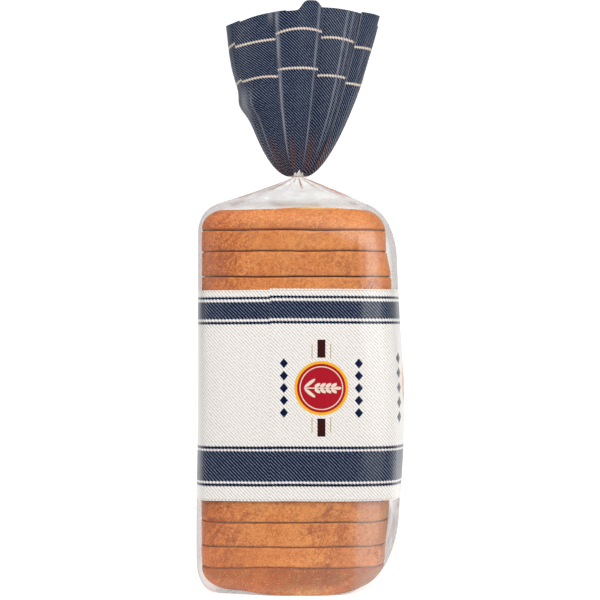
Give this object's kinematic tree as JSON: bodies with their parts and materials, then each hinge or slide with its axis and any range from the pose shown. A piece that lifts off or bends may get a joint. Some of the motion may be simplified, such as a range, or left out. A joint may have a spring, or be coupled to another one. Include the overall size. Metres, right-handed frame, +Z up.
{
  "type": "bagged brioche loaf",
  "caption": "Sliced brioche loaf in a clear and printed film bag, standing on its closed end, with the bag's neck gathered and its tail flared above.",
  "frame": {"origin": "middle of the pack's box, on the surface that the loaf's closed end stands on", "axes": "+Z up along the loaf towards the gathered tail; the shown long side faces -Y; the loaf's domed side faces +X"},
  "size_m": [0.1284, 0.121, 0.3633],
  "materials": {
    "clear_film": "clear film drawn over a brown crust",
    "printed_film": "film printed with an off-white and navy twill",
    "crust": "baked crust",
    "crumb": "soft crumb"
  },
  "bodies": {
    "root": {"bag": "clear_film"}
  },
  "joints": []
}
